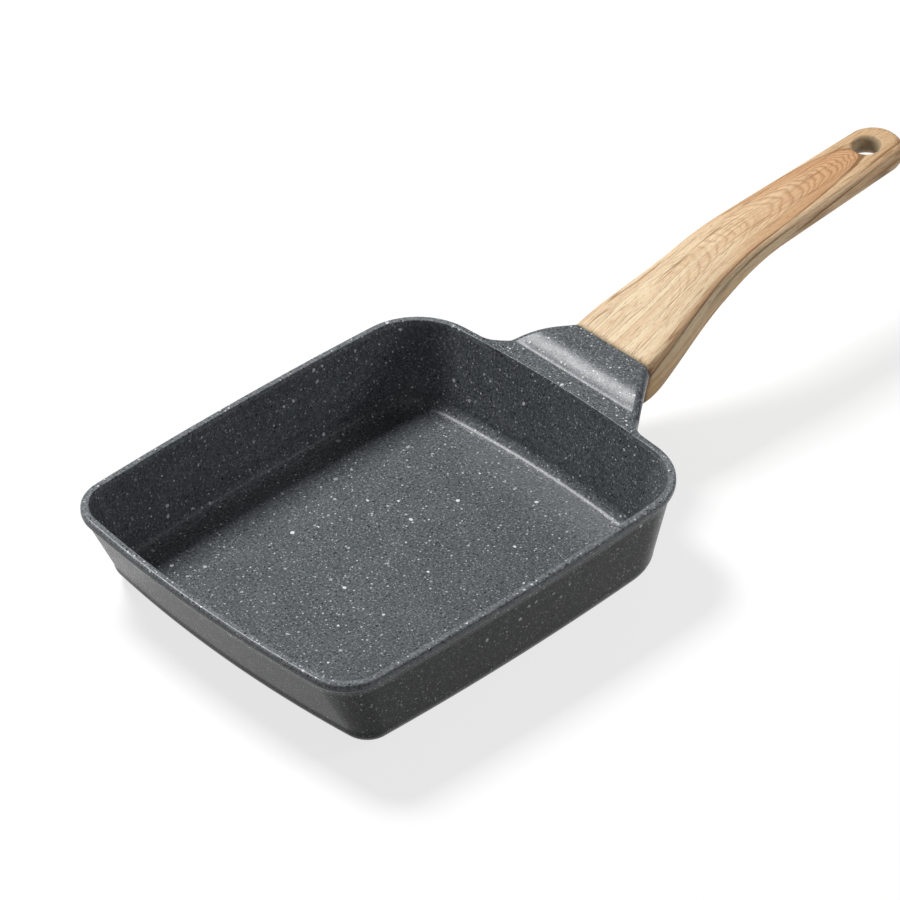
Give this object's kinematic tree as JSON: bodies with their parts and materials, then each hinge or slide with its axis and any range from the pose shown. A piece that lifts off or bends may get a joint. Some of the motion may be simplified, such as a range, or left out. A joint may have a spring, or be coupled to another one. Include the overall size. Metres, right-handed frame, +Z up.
{
  "type": "rectangular omelette frying pan",
  "caption": "Rectangular cast frying pan with a speckled stone-look coating, a flared collar and a bent wood-look handle with a hanging hole, for rolled omelettes.",
  "frame": {"origin": "on the resting plane, straight below the middle of the rim", "axes": "+X out along the handle, +Z up, XZ is the plane of symmetry"},
  "size_m": [0.3575, 0.1504, 0.0669],
  "materials": {
    "stone_coating": "speckled satin non-stick coating",
    "base_steel": "brushed",
    "wood_look_grip": "satin wood-grain print",
    "fastener_steel": "zinc plated"
  },
  "bodies": {
    "root": {"pan_casting": "stone_coating", "induction_disc": "base_steel", "handle_grip": "wood_look_grip", "handle_screw": "fastener_steel", "spring_washer": "fastener_steel", "flat_washer": "fastener_steel"}
  },
  "joints": []
}
